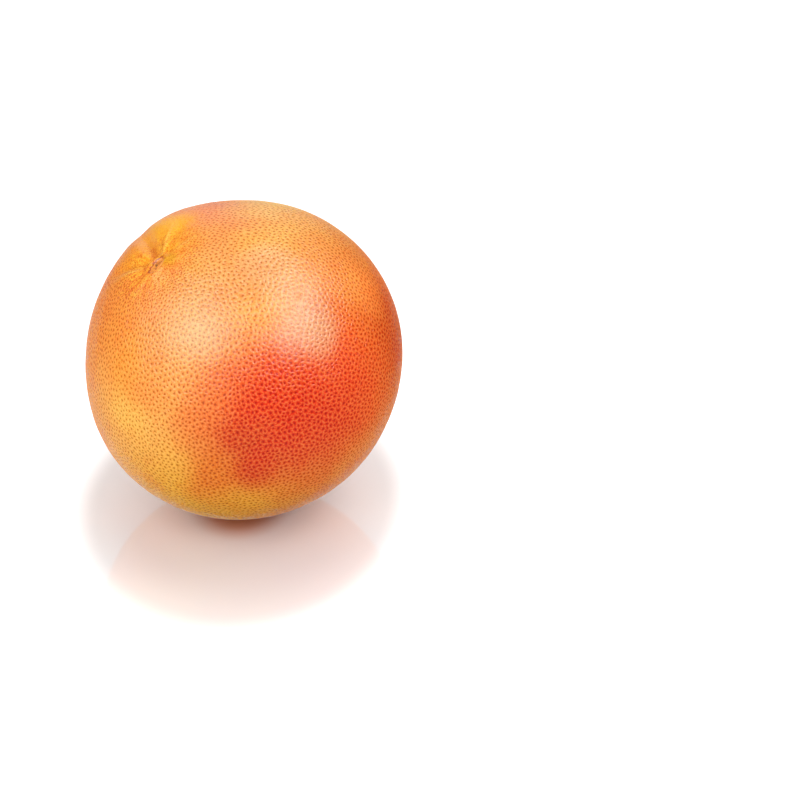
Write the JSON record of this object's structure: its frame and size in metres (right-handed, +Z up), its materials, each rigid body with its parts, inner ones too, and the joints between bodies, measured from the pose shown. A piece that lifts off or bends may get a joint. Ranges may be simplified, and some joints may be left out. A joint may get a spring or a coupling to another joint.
{
  "type": "grapefruit",
  "caption": "Whole picked grapefruit, slightly flattened end to end, with a stem scar, short furrows and a pored rind, lying on a small flat spot.",
  "frame": {"origin": "centre of the small flat spot that the fruit rests on", "axes": "+Z up as the fruit lies; the stem end leans 37 degrees from +Z, toward -X and -Y"},
  "size_m": [0.1097, 0.1114, 0.1081],
  "materials": {
    "rind": "satin: waxed citrus rind, pored, yellow-orange with a red blush"
  },
  "bodies": {
    "root": {"grapefruit": "rind"}
  },
  "joints": []
}
